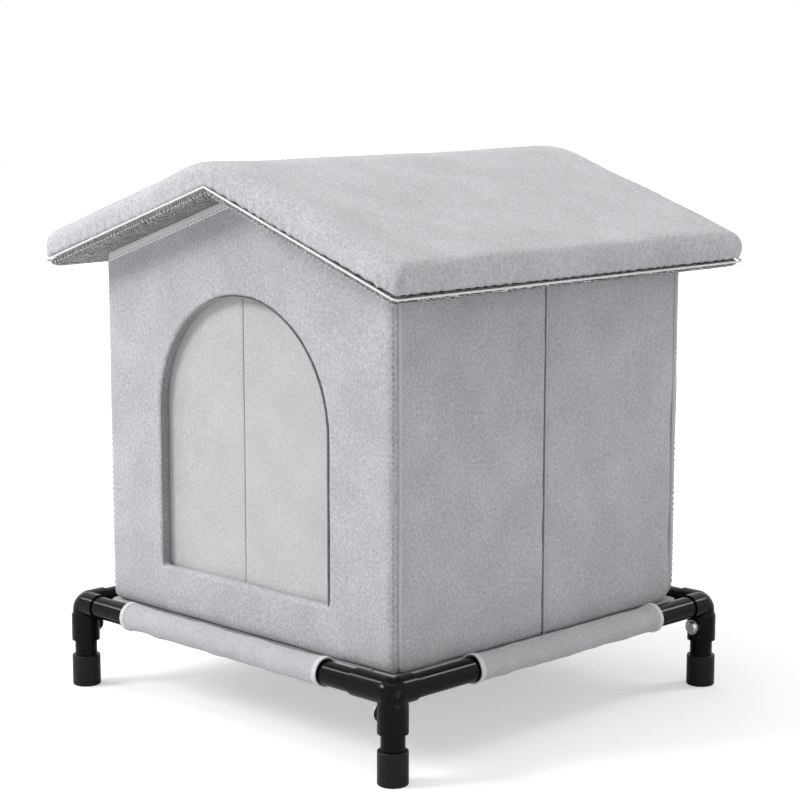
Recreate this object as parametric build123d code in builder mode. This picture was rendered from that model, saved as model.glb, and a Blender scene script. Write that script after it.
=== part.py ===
from build123d import *
import os
from math import atan2, cos, degrees, sin, tan

os.makedirs("parts", exist_ok=True)

# Cat house of padded boards on a raised tube frame. Millimetres, +Z up,
# floor at Z 0, doorway towards -Y, the seamed side wall towards +X.

# Everything round or square starts on its base
on_base = (Align.CENTER, Align.CENTER, Align.MIN)

# Frame
leg_spacing = 438.0
tube_radius = 11.0
tube_wall = 1.2
rail_height = 83.0
arm_radius = 12.6
arm_reach = 23.0
long_arm_reach = 46.0
socket_radius = 14.0
socket_base = 46.5
rail_stop = 15.0
leg_top = 68.0
foot_radius = 14.0
foot_height = 31.0
foot_floor = 4.0
outer_bend = 19.0
axis_clear = 1.0
socket_top = 72.0
socket_taper = 3.0
rail_bend = 21.0
screw_side_bend = 17.6
foot_lower_round = 1.5
foot_upper_round = 1.0
boss_radius = 8.4
boss_face = 15.2
screw_height = 61.5
washer_radius = 7.6
washer_thick = 1.2
head_radius = 6.2
head_rise = 2.6
shank_radius = 2.4
shank_depth = 5.6
cross_width = 1.1
cross_depth = 1.2

# Deck and sleeves
deck_top = 88.2
deck_thick = 1.8
deck_half = 203.0
sleeve_radius = 12.5
hem_radius = 13.2
hem_width = 5.0
hem_round = 0.6
deck_corner = 12.0
tab_inset = 1.0
front_sleeve = (-146.0, 134.0)
right_sleeve = (-119.0, 140.0)
rear_sleeve = (-138.0, 138.0)
left_sleeve = (-138.0, 138.0)
strip_thick = 0.8
strip_width = 8.0
strip_end_clear = 20.0
strip_side_clear = 30.0

# Walls
house_width = 400.0
house_depth = 400.0
board = 9.0
corner_round = 8.6
soft_gap = 0.3
fold_gap = 0.6
hinge_gap = 0.4
cord_radius = 0.9
cord_clear = 0.1
cord_offset = 0.35
piping_radius = 1.3
piping_clear = 0.15
piping_out = 0.2
foot_round = 6.0
rear_round = 14.0

# Doorway and curtain
door_width = 235.0
door_sill = 137.0
door_top = 409.0
curtain_lap = 12.0
curtain_thick = 2.0
curtain_split = -6.0
curtain_gap = 0.5
rod_height = 423.0
rod_radius = 1.1
rod_clear = 0.1
header_rise = 15.0
header_back = 1.4
header_thick = 2.6
header_gap = 1.5
flap_drop = 0.6
flap_end_clear = 0.5

# Roof
roof_half_width = 243.0
roof_half_depth = 241.0
eave_height = 427.9
ridge_height = 511.0
roof_thick = 26.0
ridge_round = 120.0
roof_corner = 20.0
roof_edge = 14.0
lining_thick = 8.0
lining_inset = 2.0
lining_edge = 6.5
lining_corner = 16.0
edge_cord = 1.6
rim_share = 0.9
ridge_gap = 0.2
gable_strip = 8.5
gable_strip_thick = 1.4
gable_strip_half = 192.0

# Derived positions
leg_axis = leg_spacing / 2
half_w = house_width / 2
half_d = house_depth / 2
inner_x = half_w - board
inner_y = half_d - board
pitch = atan2(ridge_height - eave_height, roof_half_width)
slope = tan(pitch)
wall_base = deck_top + strip_thick + soft_gap
lining_drop = lining_thick / cos(pitch)
gable_top = ridge_height - lining_drop - soft_gap
side_top = gable_top - slope * half_w
hinge_x = inner_x - cord_offset
hinge_y = inner_y - cord_offset
fold_x = half_w + cord_offset
piping_x = half_w + piping_out
piping_y = inner_y - piping_out
ridge_top = ridge_height + roof_thick / cos(pitch) - ridge_round * (1 / cos(pitch) - 1)
cord_top = side_top - slope * 2
cord_span = cord_top - wall_base


def corner_connector(reach_x, reach_y):
    """Three-way elbow with its leg socket on Z, arms towards +X and +Y."""
    turn = rail_height
    bend = outer_bend - arm_radius
    with BuildPart() as elbow:
        with Locations((0, 0, socket_base)):
            Cylinder(socket_radius, socket_top - socket_base, align=on_base)
        with Locations((0, 0, socket_top)):
            Cone(socket_radius, arm_radius, socket_taper, align=on_base)
            Cylinder(arm_radius, turn - bend - socket_top, align=on_base)
        with Locations(Plane((bend, 0, turn), z_dir=(1, 0, 0))):
            Cylinder(arm_radius, reach_x - bend, align=on_base)
        with Locations(Plane((0, bend, turn), z_dir=(0, 1, 0))):
            Cylinder(arm_radius, reach_y - bend, align=on_base)
        with BuildSketch(Plane.XY.offset(turn - bend)):
            Circle(arm_radius)
            with Locations((bend - axis_clear, 0)):
                Rectangle(2 * arm_radius, 2 * arm_radius, align=(Align.MIN, Align.CENTER),
                          mode=Mode.SUBTRACT)
        revolve(axis=Axis((bend, 0, turn - bend), (0, 1, 0)), revolution_arc=90)
        with BuildSketch(Plane.XY.offset(turn - bend)):
            Circle(arm_radius)
            with Locations((0, bend - axis_clear)):
                Rectangle(2 * arm_radius, 2 * arm_radius, align=(Align.CENTER, Align.MIN),
                          mode=Mode.SUBTRACT)
        revolve(axis=Axis((0, bend, turn - bend), (-1, 0, 0)), revolution_arc=90)
        with BuildSketch(Plane.XY.offset(turn - rail_bend)):
            Circle(arm_radius)
        revolve(axis=Axis((rail_bend, 0, turn - rail_bend), (0, 1, 0)), revolution_arc=90)
        with BuildSketch(Plane.XY.offset(turn - screw_side_bend)):
            Circle(arm_radius)
        revolve(axis=Axis((0, screw_side_bend, turn - screw_side_bend), (-1, 0, 0)), revolution_arc=90)
        with Locations(Plane((0, 0, screw_height), z_dir=(0, 1, 0))):
            Cylinder(boss_radius, boss_face, align=on_base)
        with Locations((0, 0, socket_base)):
            Cylinder(tube_radius, leg_top - socket_base,
                     align=on_base, mode=Mode.SUBTRACT)
        with Locations(Plane((rail_stop, 0, turn), z_dir=(1, 0, 0))):
            Cylinder(tube_radius, reach_x, align=on_base, mode=Mode.SUBTRACT)
        with Locations(Plane((0, rail_stop, turn), z_dir=(0, 1, 0))):
            Cylinder(tube_radius, reach_y, align=on_base, mode=Mode.SUBTRACT)
        with Locations(Plane((0, 0, screw_height), z_dir=(0, 1, 0))):
            Cylinder(shank_radius, boss_face, align=on_base, mode=Mode.SUBTRACT)
    return elbow.part


def tube(length):
    """Open tube standing on Z."""
    with BuildPart() as pipe:
        Cylinder(tube_radius, length, align=on_base)
        Cylinder(tube_radius - tube_wall, length,
                 align=on_base, mode=Mode.SUBTRACT)
    return pipe.part


def sleeve(start, end):
    """Cloth tube round a rail, along X from start to end."""
    with BuildPart() as cloth:
        with Locations(Plane((start, 0, 0), z_dir=(1, 0, 0))):
            Cylinder(sleeve_radius, end - start, align=on_base)
            Cylinder(tube_radius, end - start,
                     align=on_base, mode=Mode.SUBTRACT)
    return cloth.part


def upright_cord(x, y, radius, base, height):
    """Round sewn cord standing at one corner or fold."""
    with BuildPart() as cord:
        with Locations((x, y, base)):
            Cylinder(radius, height, align=on_base)
    return cord.part


corner_turns = {"front_left": 0, "front_right": 90, "back_right": 180, "back_left": 270}


def at_corner(name):
    """Place of a corner whose arms point along the two rails that meet there."""
    sign = {"front_left": (-1, -1), "front_right": (1, -1), "back_right": (1, 1), "back_left": (-1, 1)}[name]
    return Location((sign[0] * leg_axis, sign[1] * leg_axis, 0), (0, 0, corner_turns[name]))


# Corner connectors
with BuildPart() as connector_front_left:
    add(corner_connector(arm_reach, arm_reach).locate(at_corner("front_left")))
connector_front_left.part.label = "connector_front_left"
export_step(connector_front_left.part, "parts/connector_front_left.step")

with BuildPart() as connector_front_right:
    add(corner_connector(arm_reach, long_arm_reach).locate(at_corner("front_right")))
connector_front_right.part.label = "connector_front_right"
export_step(connector_front_right.part, "parts/connector_front_right.step")

with BuildPart() as connector_back_right:
    add(corner_connector(arm_reach, arm_reach).locate(at_corner("back_right")))
connector_back_right.part.label = "connector_back_right"
export_step(connector_back_right.part, "parts/connector_back_right.step")

with BuildPart() as connector_back_left:
    add(corner_connector(arm_reach, arm_reach).locate(at_corner("back_left")))
connector_back_left.part.label = "connector_back_left"
export_step(connector_back_left.part, "parts/connector_back_left.step")

# Legs and feet
def leg_tube(name):
    """Leg tube with the hole that its screw goes into."""
    with BuildPart() as leg:
        with Locations((0, 0, foot_floor)):
            add(tube(leg_top - foot_floor))
        with Locations(Plane((0, 0, screw_height), z_dir=(0, 1, 0))):
            Cylinder(shank_radius, boss_face, align=on_base, mode=Mode.SUBTRACT)
    return leg.part.locate(at_corner(name))


def foot_cap(name):
    """Push-on foot with a rounded lower rim."""
    with BuildPart() as cap:
        Cylinder(foot_radius, foot_height, align=on_base)
        with Locations((0, 0, foot_floor)):
            Cylinder(tube_radius, foot_height, align=on_base,
                     mode=Mode.SUBTRACT)
        fillet(cap.edges().filter_by(GeomType.CIRCLE).group_by(Axis.Z)[0], foot_lower_round)
        fillet(cap.edges().filter_by(GeomType.CIRCLE).group_by(Axis.Z)[-1].sort_by(SortBy.LENGTH)[-1],
               foot_upper_round)
    return cap.part.locate(at_corner(name))


with BuildPart() as leg_front_left:
    add(leg_tube("front_left"))
leg_front_left.part.label = "leg_front_left"
export_step(leg_front_left.part, "parts/leg_front_left.step")

with BuildPart() as leg_front_right:
    add(leg_tube("front_right"))
leg_front_right.part.label = "leg_front_right"
export_step(leg_front_right.part, "parts/leg_front_right.step")

with BuildPart() as leg_back_right:
    add(leg_tube("back_right"))
leg_back_right.part.label = "leg_back_right"
export_step(leg_back_right.part, "parts/leg_back_right.step")

with BuildPart() as leg_back_left:
    add(leg_tube("back_left"))
leg_back_left.part.label = "leg_back_left"
export_step(leg_back_left.part, "parts/leg_back_left.step")

with BuildPart() as foot_front_left:
    add(foot_cap("front_left"))
foot_front_left.part.label = "foot_front_left"
export_step(foot_front_left.part, "parts/foot_front_left.step")

with BuildPart() as foot_front_right:
    add(foot_cap("front_right"))
foot_front_right.part.label = "foot_front_right"
export_step(foot_front_right.part, "parts/foot_front_right.step")

with BuildPart() as foot_back_right:
    add(foot_cap("back_right"))
foot_back_right.part.label = "foot_back_right"
export_step(foot_back_right.part, "parts/foot_back_right.step")

with BuildPart() as foot_back_left:
    add(foot_cap("back_left"))
foot_back_left.part.label = "foot_back_left"
export_step(foot_back_left.part, "parts/foot_back_left.step")

# Screws and washers that lock the leg tubes, one under one rail at each corner
def leg_screw(name):
    """Domed screw with a cross recess, its shank through the washer into the socket."""
    face = boss_face + washer_thick
    with BuildPart() as screw:
        with Locations(Plane((0, face, screw_height), z_dir=(0, 1, 0))):
            Cylinder(head_radius, head_rise, align=on_base)
        fillet(screw.edges().filter_by(GeomType.CIRCLE).group_by(Axis.Y)[-1], head_rise * 0.8)
        with Locations(Plane((0, face + head_rise, screw_height), z_dir=(0, 1, 0))):
            Box(cross_width, head_radius, 2 * cross_depth, mode=Mode.SUBTRACT)
            Box(head_radius, cross_width, 2 * cross_depth, mode=Mode.SUBTRACT)
        with Locations(Plane((0, face, screw_height), z_dir=(0, -1, 0))):
            Cylinder(shank_radius, washer_thick + shank_depth, align=on_base)
    return screw.part.locate(at_corner(name))


def leg_washer(name):
    """Washer between the screw's head and the socket's boss."""
    with BuildPart() as washer:
        with Locations(Plane((0, boss_face, screw_height), z_dir=(0, 1, 0))):
            Cylinder(washer_radius, washer_thick, align=on_base)
            Cylinder(shank_radius, washer_thick, align=on_base,
                     mode=Mode.SUBTRACT)
    return washer.part.locate(at_corner(name))


with BuildPart() as leg_screws:
    for corner in corner_turns:
        add(leg_screw(corner))
leg_screws.part.label = "leg_screws"
export_step(leg_screws.part, "parts/leg_screws.step")

with BuildPart() as screw_washers:
    for corner in corner_turns:
        add(leg_washer(corner))
screw_washers.part.label = "screw_washers"
export_step(screw_washers.part, "parts/screw_washers.step")

# Rails
rail_half = leg_axis - rail_stop
with BuildPart() as rail_front:
    with Locations(Plane((-rail_half, -leg_axis, rail_height), z_dir=(1, 0, 0))):
        add(tube(2 * rail_half))
rail_front.part.label = "rail_front"
export_step(rail_front.part, "parts/rail_front.step")

with BuildPart() as rail_back:
    with Locations(Plane((-rail_half, leg_axis, rail_height), z_dir=(1, 0, 0))):
        add(tube(2 * rail_half))
rail_back.part.label = "rail_back"
export_step(rail_back.part, "parts/rail_back.step")

with BuildPart() as rail_right:
    with Locations(Plane((leg_axis, -rail_half, rail_height), z_dir=(0, 1, 0))):
        add(tube(2 * rail_half))
rail_right.part.label = "rail_right"
export_step(rail_right.part, "parts/rail_right.step")

with BuildPart() as rail_left:
    with Locations(Plane((-leg_axis, -rail_half, rail_height), z_dir=(0, 1, 0))):
        add(tube(2 * rail_half))
rail_left.part.label = "rail_left"
export_step(rail_left.part, "parts/rail_left.step")

# Sleeves: each place is the rail's middle, with local X along the rail
sleeve_places = {
    "front": (Location((0, -leg_axis, rail_height)), front_sleeve),
    "right": (Location((leg_axis, 0, rail_height), (0, 0, 90)), right_sleeve),
    "back": (Location((0, leg_axis, rail_height), (0, 0, 180)), (-rear_sleeve[1], -rear_sleeve[0])),
    "left": (Location((-leg_axis, 0, rail_height), (0, 0, 270)), (-left_sleeve[1], -left_sleeve[0])),
}

with BuildPart() as sleeve_front:
    add(sleeve(*sleeve_places["front"][1]).locate(sleeve_places["front"][0]))
sleeve_front.part.label = "sleeve_front"
export_step(sleeve_front.part, "parts/sleeve_front.step")

with BuildPart() as sleeve_right:
    add(sleeve(*sleeve_places["right"][1]).locate(sleeve_places["right"][0]))
sleeve_right.part.label = "sleeve_right"
export_step(sleeve_right.part, "parts/sleeve_right.step")

with BuildPart() as sleeve_back:
    add(sleeve(*sleeve_places["back"][1]).locate(sleeve_places["back"][0]))
sleeve_back.part.label = "sleeve_back"
export_step(sleeve_back.part, "parts/sleeve_back.step")

with BuildPart() as sleeve_left:
    add(sleeve(*sleeve_places["left"][1]).locate(sleeve_places["left"][0]))
sleeve_left.part.label = "sleeve_left"
export_step(sleeve_left.part, "parts/sleeve_left.step")

def two_hems(start, end):
    """Thicker turned hems round both mouths of a sleeve along X."""
    with BuildPart() as hems:
        for low in (start, end - hem_width):
            with Locations(Plane((low, 0, 0), z_dir=(1, 0, 0))):
                Cylinder(hem_radius, hem_width, align=on_base)
        fillet(hems.edges().filter_by(GeomType.CIRCLE), hem_round)
        with Locations(Plane((start, 0, 0), z_dir=(1, 0, 0))):
            Cylinder(sleeve_radius, end - start, align=on_base,
                     mode=Mode.SUBTRACT)
    return hems.part


with BuildPart() as sleeve_hems:
    for place, (start, end) in sleeve_places.values():
        add(two_hems(start, end).locate(place))
sleeve_hems.part.label = "sleeve_hems"
export_step(sleeve_hems.part, "parts/sleeve_hems.step")

# Deck cloth: a square sheet with a tab along each sleeve
tab_reach = leg_axis - deck_half
with BuildPart() as deck:
    with BuildSketch(Plane.XY.offset(deck_top - deck_thick)):
        RectangleRounded(2 * deck_half, 2 * deck_half, deck_corner)
        for place, (start, end) in sleeve_places.values():
            middle = place * Location(((start + end) / 2, tab_reach / 2, 0))
            with Locations(Location((middle.position.X, middle.position.Y, 0), (0, 0, middle.orientation.Z))):
                Rectangle(end - start - 2 * (hem_width + tab_inset), tab_reach)
    extrude(amount=deck_thick)
    for place, (start, end) in sleeve_places.values():
        with Locations(place * Location((start, 0, 0), (0, 90, 0))):
            Cylinder(sleeve_radius, end - start, align=on_base,
                     mode=Mode.SUBTRACT)
deck.part.label = "deck"
export_step(deck.part, "parts/deck.step")

# Hook strips on the deck under the walls
with BuildPart() as floor_hook_strips:
    with Locations((half_w - board / 2, 0, deck_top), (-half_w + board / 2, 0, deck_top)):
        Box(strip_width, 2 * (inner_y - strip_side_clear), strip_thick,
            align=on_base)
    with Locations((0, half_d - board / 2, deck_top), (0, -half_d + board / 2, deck_top)):
        Box(2 * (inner_x - strip_end_clear), strip_width, strip_thick,
            align=on_base)
floor_hook_strips.part.label = "floor_hook_strips"
export_step(floor_hook_strips.part, "parts/floor_hook_strips.step")


def gable_board(base, lower_round):
    """End wall between Y 0 and Y board, its rounded upright edges on the Y 0 side."""
    with BuildPart() as wall:
        with BuildSketch(Plane.XZ):
            with BuildLine():
                Polyline((-half_w, base), (half_w, base), (half_w, side_top), (0, gable_top),
                         (-half_w, side_top), close=True)
            make_face()
            fillet(vertices().group_by(Axis.Y)[0], lower_round)
        extrude(amount=-board)
        uprights = [e for e in wall.edges().filter_by(Axis.Z) if abs(e.center().Y) < 0.01
                    and abs(abs(e.center().X) - half_w) < 0.01]
        fillet(uprights, corner_round)
    return wall.part


# Front wall with its arched doorway
door_half = door_width / 2
arch_height = door_top - door_half
with BuildPart() as front_wall:
    add(gable_board(deck_top + strip_thick, foot_round).locate(Location((0, -half_d, 0))))
    with BuildSketch(Plane.XZ.offset(half_d)):
        with BuildLine():
            Line((-door_half, arch_height), (-door_half, door_sill))
            Line((-door_half, door_sill), (door_half, door_sill))
            Line((door_half, door_sill), (door_half, arch_height))
            CenterArc((0, arch_height), door_half, 0, 180)
        make_face()
    extrude(amount=-board, mode=Mode.SUBTRACT)
    with Locations((hinge_x, -hinge_y, deck_top), (-hinge_x, -hinge_y, deck_top)):
        Cylinder(cord_radius, ridge_height, align=on_base, mode=Mode.SUBTRACT)
    with Locations((piping_x, -piping_y, deck_top), (-piping_x, -piping_y, deck_top)):
        Cylinder(piping_radius, ridge_height, align=on_base, mode=Mode.SUBTRACT)
front_wall.part.label = "front_wall"
export_step(front_wall.part, "parts/front_wall.step")

# Back wall, plain
with BuildPart() as back_wall:
    add(gable_board(wall_base, rear_round).locate(Location((0, half_d, 0), (0, 0, 180))))
    with Locations((hinge_x, hinge_y, deck_top), (-hinge_x, hinge_y, deck_top)):
        Cylinder(cord_radius, ridge_height, align=on_base, mode=Mode.SUBTRACT)
    with Locations((piping_x, piping_y, deck_top), (-piping_x, piping_y, deck_top)):
        Cylinder(piping_radius, ridge_height, align=on_base, mode=Mode.SUBTRACT)
back_wall.part.label = "back_wall"
export_step(back_wall.part, "parts/back_wall.step")


def side_half(front_y, rear_y, front_low, rear_low):
    """Half of the right side wall, with rounded lower ends."""
    with BuildPart() as half:
        with BuildSketch(Plane.YZ.offset(inner_x)):
            with BuildLine():
                Polyline((front_y, wall_base), (rear_y, wall_base), (rear_y, side_top), (front_y, side_top),
                         close=True)
            make_face()
            if front_low:
                fillet(vertices().group_by(Axis.Y)[0].sort_by(Axis.X)[0], front_low)
            if rear_low:
                fillet(vertices().group_by(Axis.Y)[0].sort_by(Axis.X)[-1], rear_low)
        extrude(amount=board)
    return half.part


# Side walls: a front half and a rear half folding along one middle line
with BuildPart() as right_front_panel:
    add(side_half(-inner_y + hinge_gap, -fold_gap, foot_round, 0))
    with Locations((hinge_x, -hinge_y, deck_top)):
        Cylinder(cord_radius + cord_clear, ridge_height, align=on_base,
                 mode=Mode.SUBTRACT)
    with Locations((piping_x, -piping_y, deck_top)):
        Cylinder(piping_radius + piping_clear, ridge_height, align=on_base,
                 mode=Mode.SUBTRACT)
    with Locations((fold_x, 0, deck_top)):
        Cylinder(cord_radius, ridge_height, align=on_base, mode=Mode.SUBTRACT)
right_front_panel.part.label = "right_front_panel"
export_step(right_front_panel.part, "parts/right_front_panel.step")

with BuildPart() as right_rear_panel:
    add(side_half(fold_gap, inner_y - hinge_gap, 0, rear_round))
    with Locations((hinge_x, hinge_y, deck_top)):
        Cylinder(cord_radius + cord_clear, ridge_height, align=on_base,
                 mode=Mode.SUBTRACT)
    with Locations((piping_x, piping_y, deck_top)):
        Cylinder(piping_radius + piping_clear, ridge_height, align=on_base,
                 mode=Mode.SUBTRACT)
    with Locations((fold_x, 0, deck_top)):
        Cylinder(cord_radius + cord_clear, ridge_height, align=on_base,
                 mode=Mode.SUBTRACT)
right_rear_panel.part.label = "right_rear_panel"
export_step(right_rear_panel.part, "parts/right_rear_panel.step")

with BuildPart() as left_front_panel:
    add(mirror(right_front_panel.part, Plane.YZ))
left_front_panel.part.label = "left_front_panel"
export_step(left_front_panel.part, "parts/left_front_panel.step")

with BuildPart() as left_rear_panel:
    add(mirror(right_rear_panel.part, Plane.YZ))
left_rear_panel.part.label = "left_rear_panel"
export_step(left_rear_panel.part, "parts/left_rear_panel.step")

# Sewn cords that the walls turn about, and the piping of the upright edges
with BuildPart() as right_fold_cord:
    add(upright_cord(fold_x, 0, cord_radius, wall_base, cord_span))
right_fold_cord.part.label = "right_fold_cord"
export_step(right_fold_cord.part, "parts/right_fold_cord.step")

with BuildPart() as left_fold_cord:
    add(upright_cord(-fold_x, 0, cord_radius, wall_base, cord_span))
left_fold_cord.part.label = "left_fold_cord"
export_step(left_fold_cord.part, "parts/left_fold_cord.step")

with BuildPart() as front_hinge_cords:
    add(upright_cord(hinge_x, -hinge_y, cord_radius, wall_base, cord_span))
    add(upright_cord(-hinge_x, -hinge_y, cord_radius, wall_base, cord_span))
front_hinge_cords.part.label = "front_hinge_cords"
export_step(front_hinge_cords.part, "parts/front_hinge_cords.step")

with BuildPart() as back_hinge_cords:
    add(upright_cord(hinge_x, hinge_y, cord_radius, wall_base, cord_span))
    add(upright_cord(-hinge_x, hinge_y, cord_radius, wall_base, cord_span))
back_hinge_cords.part.label = "back_hinge_cords"
export_step(back_hinge_cords.part, "parts/back_hinge_cords.step")

piping_base = wall_base + foot_round
with BuildPart() as front_corner_piping:
    for side in (-1, 1):
        add(upright_cord(side * piping_x, -piping_y, piping_radius, piping_base,
                         cord_top - piping_base))
front_corner_piping.part.label = "front_corner_piping"
export_step(front_corner_piping.part, "parts/front_corner_piping.step")

rear_piping_base = wall_base + rear_round
with BuildPart() as back_corner_piping:
    for side in (-1, 1):
        add(upright_cord(side * piping_x, piping_y, piping_radius, rear_piping_base,
                         cord_top - rear_piping_base))
back_corner_piping.part.label = "back_corner_piping"
export_step(back_corner_piping.part, "parts/back_corner_piping.step")


def gable_tape(face_y):
    """Tape along the two sloping top edges of an end wall, from face_y outward along -Y."""
    reach = gable_strip_half
    end_top = gable_top - slope * reach
    with BuildPart() as tape:
        with BuildSketch(Plane.XZ.offset(-face_y)):
            with BuildLine():
                Polyline((-reach, end_top - gable_strip), (0, gable_top - gable_strip),
                         (reach, end_top - gable_strip), (reach, end_top), (0, gable_top),
                         (-reach, end_top), close=True)
            make_face()
        extrude(amount=gable_strip_thick)
    return tape.part


with BuildPart() as front_gable_tape:
    add(gable_tape(-half_d))
front_gable_tape.part.label = "front_gable_tape"
export_step(front_gable_tape.part, "parts/front_gable_tape.step")

with BuildPart() as back_gable_tape:
    add(gable_tape(-half_d).locate(Location((0, 0, 0), (0, 0, 180))))
back_gable_tape.part.label = "back_gable_tape"
export_step(back_gable_tape.part, "parts/back_gable_tape.step")

# Curtain: a header sewn behind the front wall and two flaps that swing in
rod_y = -inner_y + header_back
lap_half = door_half + curtain_lap
with BuildPart() as curtain_header:
    with Locations(Plane((-lap_half, rod_y, rod_height), z_dir=(1, 0, 0))):
        Cylinder(rod_radius, 2 * lap_half, align=on_base)
    with Locations((0, -inner_y, rod_height)):
        Box(2 * lap_half, header_back, header_rise, align=(Align.CENTER, Align.MIN, Align.MIN))
    with Locations((0, -inner_y, rod_height + header_gap)):
        Box(2 * lap_half, header_thick, header_rise - header_gap, align=(Align.CENTER, Align.MIN, Align.MIN))
curtain_header.part.label = "curtain_header"
export_step(curtain_header.part, "parts/curtain_header.step")


def curtain_flap(low_x, high_x):
    """Hanging flap from low_x to high_x, turning about the header's rod."""
    top = rod_height - flap_drop
    low = door_sill - curtain_lap + curtain_thick
    with BuildPart() as flap:
        with Locations(((low_x + high_x) / 2, rod_y, low)):
            Box(high_x - low_x, curtain_thick, top - low, align=on_base)
        with Locations(Plane((low_x, rod_y, rod_height), z_dir=(1, 0, 0))):
            Cylinder(rod_radius + rod_clear, high_x - low_x, align=on_base,
                     mode=Mode.SUBTRACT)
    return flap.part


with BuildPart() as curtain_right:
    add(curtain_flap(curtain_split + curtain_gap, lap_half - flap_end_clear))
curtain_right.part.label = "curtain_right"
export_step(curtain_right.part, "parts/curtain_right.step")

with BuildPart() as curtain_left:
    add(curtain_flap(-lap_half + flap_end_clear, curtain_split - curtain_gap))
curtain_left.part.label = "curtain_left"
export_step(curtain_left.part, "parts/curtain_left.step")

# Roof: one padded form over both slopes, cut at the ridge into its two halves
run_x, rise_z = sin(pitch), cos(pitch)
lower_eave = (roof_half_width, eave_height)
upper_eave = (roof_half_width + roof_thick * run_x, eave_height + roof_thick * rise_z)
arc_x = ridge_round * sin(pitch)
arc_z = ridge_top - ridge_round * (1 - cos(pitch))

with BuildPart() as roof_pad:
    with BuildSketch(Plane.XZ):
        with BuildLine():
            Polyline((0, ridge_height), lower_eave, upper_eave, (arc_x, arc_z))
            ThreePointArc((arc_x, arc_z), (0, ridge_top), (-arc_x, arc_z))
            Polyline((-arc_x, arc_z), (-upper_eave[0], upper_eave[1]), (-lower_eave[0], lower_eave[1]),
                     (0, ridge_height))
        make_face()
    extrude(amount=roof_half_depth, both=True)
    stubs = [e for e in roof_pad.edges() if abs(abs(e.center().Y) - roof_half_depth) < 0.01
             and abs(e.center().X) > roof_half_width and e.length < roof_thick * 1.1
             and abs(e.center().Z - eave_height - roof_thick * rise_z / 2) < 1]
    fillet(stubs, roof_corner)

with BuildPart() as lining_pad:
    inset_x = roof_half_width - lining_inset * rise_z
    inset_z = ridge_height - slope * inset_x
    low_x, low_z = inset_x - lining_thick * run_x, inset_z - lining_thick * rise_z
    with BuildSketch(Plane.XZ):
        with BuildLine():
            Polyline((0, ridge_height), (inset_x, inset_z), (low_x, low_z), (0, ridge_height - lining_drop),
                     (-low_x, low_z), (-inset_x, inset_z), close=True)
        make_face()
    extrude(amount=roof_half_depth - lining_inset, both=True)
    stubs = [e for e in lining_pad.edges() if abs(abs(e.center().Y) - roof_half_depth + lining_inset) < 0.01
             and abs(e.center().X) > low_x and e.length < lining_thick * 1.1]
    fillet(stubs, lining_corner)


def edge_cord_path():
    """Line of the piping round the right half's three lower edges, in the slope's own plane."""
    length = roof_half_width / cos(pitch)
    plane = Plane(origin=(0, 0, ridge_height), x_dir=(rise_z, 0, -run_x), z_dir=(run_x, 0, rise_z))
    with BuildLine(plane) as path:
        Line((0, -roof_half_depth), (length - roof_corner, -roof_half_depth))
        Line((length, -roof_half_depth + roof_corner), (length, roof_half_depth - roof_corner))
        Line((length - roof_corner, roof_half_depth), (0, roof_half_depth))
        CenterArc((length - roof_corner, -roof_half_depth + roof_corner), roof_corner, -90, 90)
        CenterArc((length - roof_corner, roof_half_depth - roof_corner), roof_corner, 0, 90)
    return path.wire()


cord_line = edge_cord_path()
with BuildPart() as cord_form:
    with BuildSketch(Plane(origin=(0, -roof_half_depth, ridge_height), z_dir=(cos(pitch), 0, -sin(pitch)))):
        Circle(edge_cord)
    sweep(path=cord_line)


def outer_rim(form, depth_below, edge_corner):
    """Edges of a form's outer face that run along its two ends and its two eaves."""
    rim = []
    for edge in form.edges():
        middle = edge.center()
        above = middle.Z - (ridge_height - slope * abs(middle.X))
        near_end = abs(abs(middle.Y) - roof_half_depth) < edge_corner
        near_eave = abs(middle.X) > roof_half_width - edge_corner
        if above / depth_below > rim_share and (near_end or near_eave):
            rim.append(edge)
    return rim


with BuildPart() as roof_form:
    add(roof_pad.part)
    fillet(outer_rim(roof_form, roof_thick, roof_corner * rim_share), roof_edge)

with BuildPart() as lining_form:
    add(lining_pad.part)
    fillet(outer_rim(lining_form, -lining_drop, lining_corner), lining_edge)

# Right halves are kept past the ridge's gap, and the left ones are their mirror images
half_box = 4 * roof_half_width
from_ridge = (Align.MIN, Align.CENTER, Align.CENTER)
with BuildPart() as roof_right:
    add(roof_form.part)
    with Locations((ridge_gap, 0, ridge_height)):
        Box(half_box, half_box, half_box, align=from_ridge, mode=Mode.INTERSECT)
    add(cord_form.part, mode=Mode.SUBTRACT)
roof_right.part.label = "roof_right"
export_step(roof_right.part, "parts/roof_right.step")

with BuildPart() as roof_left:
    add(mirror(roof_right.part, Plane.YZ))
roof_left.part.label = "roof_left"
export_step(roof_left.part, "parts/roof_left.step")

with BuildPart() as roof_lining_right:
    add(lining_form.part)
    with Locations((ridge_gap, 0, ridge_height)):
        Box(half_box, half_box, half_box, align=from_ridge, mode=Mode.INTERSECT)
    add(cord_form.part, mode=Mode.SUBTRACT)
roof_lining_right.part.label = "roof_lining_right"
export_step(roof_lining_right.part, "parts/roof_lining_right.step")

with BuildPart() as roof_lining_left:
    add(mirror(roof_lining_right.part, Plane.YZ))
roof_lining_left.part.label = "roof_lining_left"
export_step(roof_lining_left.part, "parts/roof_lining_left.step")

with BuildPart() as roof_piping_right:
    add(cord_form.part)
    with Locations((ridge_gap, 0, ridge_height)):
        Box(half_box, half_box, half_box, align=from_ridge, mode=Mode.INTERSECT)
roof_piping_right.part.label = "roof_piping_right"
export_step(roof_piping_right.part, "parts/roof_piping_right.step")

with BuildPart() as roof_piping_left:
    add(mirror(roof_piping_right.part, Plane.YZ))
roof_piping_left.part.label = "roof_piping_left"
export_step(roof_piping_left.part, "parts/roof_piping_left.step")

print("side top", side_top, "gable top", gable_top, "ridge top", ridge_top, "pitch", degrees(pitch))
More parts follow.
